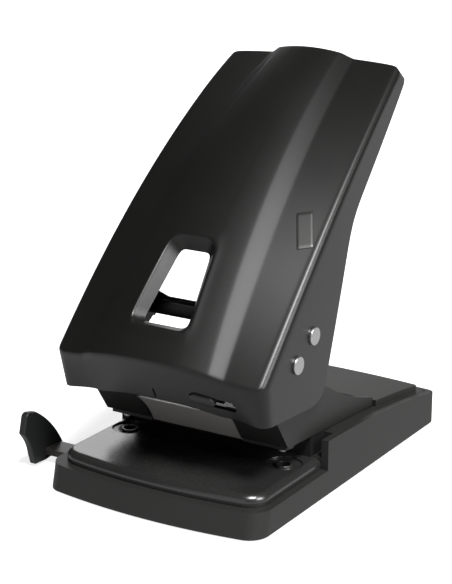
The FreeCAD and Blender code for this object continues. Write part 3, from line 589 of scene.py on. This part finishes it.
def makeBadge():  # plain raised plate that follows the right shoulder
    bm = bmesh.new()
    bmesh.ops.create_grid(bm, x_segments=badge["across"], y_segments=badge["along"], size=0.5)
    for vert in bm.verts:
        s, t = vert.co.x + 0.5, vert.co.y + 0.5
        left, right = badge["low"], badge["lowRight"]
        lowX, lowU = left[0] + (right[0] - left[0]) * s, left[1] + (right[1] - left[1]) * s
        x = lowX + (badge["high"][0] - badge["low"][0]) * t
        u = lowU + (badge["high"][1] - badge["low"][1]) * t
        vert.co = fromSlope(x, u, topHeight(x, u) - badge["sink"])
    faces = bmesh.ops.extrude_face_region(bm, geom=bm.faces[:])
    lifted = [v for v in faces["geom"] if isinstance(v, bmesh.types.BMVert)]
    bmesh.ops.translate(bm, vec=(fromSlope(0, 0, 1) - fromSlope(0, 0, 0)) * (badge["sink"] + badge["rise"]),
                        verts=lifted)
    bmesh.ops.recalc_face_normals(bm, faces=bm.faces)
    rim = [e for e in bm.edges if e.calc_face_angle() > math.radians(50) and e.verts[0] in lifted
           and e.verts[1] in lifted]
    bmesh.ops.bevel(bm, geom=rim, offset=badge["ease"] * mm, affect="EDGES", segments=2, profile=0.5,
                    material=-1)
    return asPiece(bm, "blankBadge", "blank_badge", "handle", ("blank_badge",), 40.0)


makeTongue()
makeBadge()
print("tongue and badge made")

# pieces that keep the CAD's shape with eased edges
eased = {
    "base_shell": ("baseShell", {"flat": 0.6, "angle": 30, "width": 0.8, "segments": 3}),
    "rear_deck": ("rearDeck", {"flat": 0.6, "angle": 30, "width": 0.7, "segments": 3}),
    "die_plate": ("diePlate", {"flat": 0.2, "angle": 40, "width": 0.25, "segments": 2}),
    "punch_frame": ("punchFrame", {"flat": 0.4, "angle": 30, "width": 0.35, "segments": 2}),
    "guide_tab": ("guideTab", {"flat": 0.4, "angle": 40, "width": 0.6, "segments": 3}),
    "guide_bar": ("guideBar", {"flat": 0.4, "angle": 40, "width": 0.3, "segments": 2}),
    "guide_plate": ("guidePlate", {"flat": 0.4, "angle": 40, "width": 0.25, "segments": 2}),
    "back_stop": ("backStop", {"flat": 0.4, "angle": 40, "width": 0.3, "segments": 2}),
    "left_die": ("leftDie", {"flat": 0.3, "angle": 35, "width": 0.18, "segments": 2}),
    "right_die": ("rightDie", {"flat": 0.3, "angle": 35, "width": 0.18, "segments": 2}),
    "press_axle": ("pressAxle", {"flat": 0.3, "angle": 40, "width": 0.3, "segments": 3}),
    "tie_axle": ("tieAxle", {"flat": 0.3, "angle": 40, "width": 0.3, "segments": 3}),
    "lever_frame": ("leverFrame", {"flat": 0.3, "angle": 35, "width": 0.2, "segments": 2}),
    "crossbar_sleeve": ("crossbarSleeve", {"flat": 0.3, "angle": 40, "width": 0.2, "segments": 2}),
    "left_pin_guide": ("leftPinGuide", {"flat": 0.3, "angle": 40, "width": 0.3, "segments": 2}),
    "right_pin_guide": ("rightPinGuide", {"flat": 0.3, "angle": 40, "width": 0.3, "segments": 2}),
}
for node, (name, edge) in eased.items():
    softened(node, name, edge)
print("eased pieces made:", len(eased))

# the remaining CAD nodes get finishes only
for name, obj in nodes.items():
    obj.data.materials.clear()
    obj.data.materials.append(finishes[nodeSlots[name]])

# studio
studio = {
    "floor": 12.0, "floorLevel": 0.42, "floorGlow": 0.80,
    "dim": 0.025, "glow": 0.65, "glowSide": (0.47, 0.88, 0.0),
    "suns": (
        ("keyRight", (0.40, -0.29, 0.86), 16.0, 6.0),
        ("sideRight", (0.86, -0.04, 0.50), 26.0, 2.6),
        ("backLeft", (-0.55, 0.78, 0.34), 26.0, 0.45),
        ("front", (-0.10, -0.96, 0.24), 40.0, 0.25),
    ),
    "camera": (0.37774, -0.58499, 0.29559), "back": (0.5089, -0.8115, 0.2874), "lens": 105.3,
}


def makeFloor():  # pale; it adds a plain glow of its own to what the camera sees directly
    bm = bmesh.new()
    bmesh.ops.create_grid(bm, x_segments=1, y_segments=1, size=studio["floor"])
    mesh = bpy.data.meshes.new("floor")
    bm.to_mesh(mesh)
    bm.free()
    floor = bpy.data.objects.new("floor", mesh)
    bpy.context.scene.collection.objects.link(floor)
    tree = Tree("paleFloor")
    direct = tree.add("ShaderNodeLightPath")
    glow = tree.blend(direct, grey(0.0), grey(1.0))
    tree.surface(Base_Color=grey(studio["floorLevel"]), Roughness=0.9, Emission_Color=glow,
                 Emission_Strength=studio["floorGlow"])
    mesh.materials.append(tree.material)


def makeSun(name, towards, spread, strength):
    data = bpy.data.lights.new(name, "SUN")
    data.angle = math.radians(spread)
    data.energy = strength
    light = bpy.data.objects.new(name, data)
    bpy.context.scene.collection.objects.link(light)
    light.rotation_mode = "QUATERNION"
    light.rotation_quaternion = Vector(towards).to_track_quat("Z", "Y")


def makeWorld():  # plain dark grey to the camera, a faint glow behind and to the right for the rest
    world = bpy.data.worlds.new("studio")
    bpy.context.scene.world = world
    tree = Tree.ofWorld(world)
    place = tree.add("ShaderNodeTexCoord")
    facing = tree.add("ShaderNodeVectorMath", {"operation": "DOT_PRODUCT"}, {
        0: place, 1: studio["glowSide"]}, 1)
    glow = (facing * 0.5 + 0.5).clamp() ** 2.0 * studio["glow"] + studio["dim"]
    direct = tree.add("ShaderNodeLightPath")
    tree.feed(tree.shader.inputs["Strength"], direct * (1.0 - glow) + glow)


def makeCamera():
    data = bpy.data.cameras.new("camera")
    data.lens, data.sensor_width = studio["lens"], 36.0
    data.clip_start, data.clip_end = 0.01, 50.0
    camera = bpy.data.objects.new("camera", data)
    bpy.context.scene.collection.objects.link(camera)
    camera.location = studio["camera"]
    camera.rotation_mode = "QUATERNION"
    camera.rotation_quaternion = (-Vector(studio["back"])).to_track_quat("-Z", "Y")
    bpy.context.scene.camera = camera


makeFloor()
makeWorld()
makeCamera()
for sun in studio["suns"]:
    makeSun(*sun)
bpy.context.scene.view_settings.view_transform = "Standard"
print("studio ready")
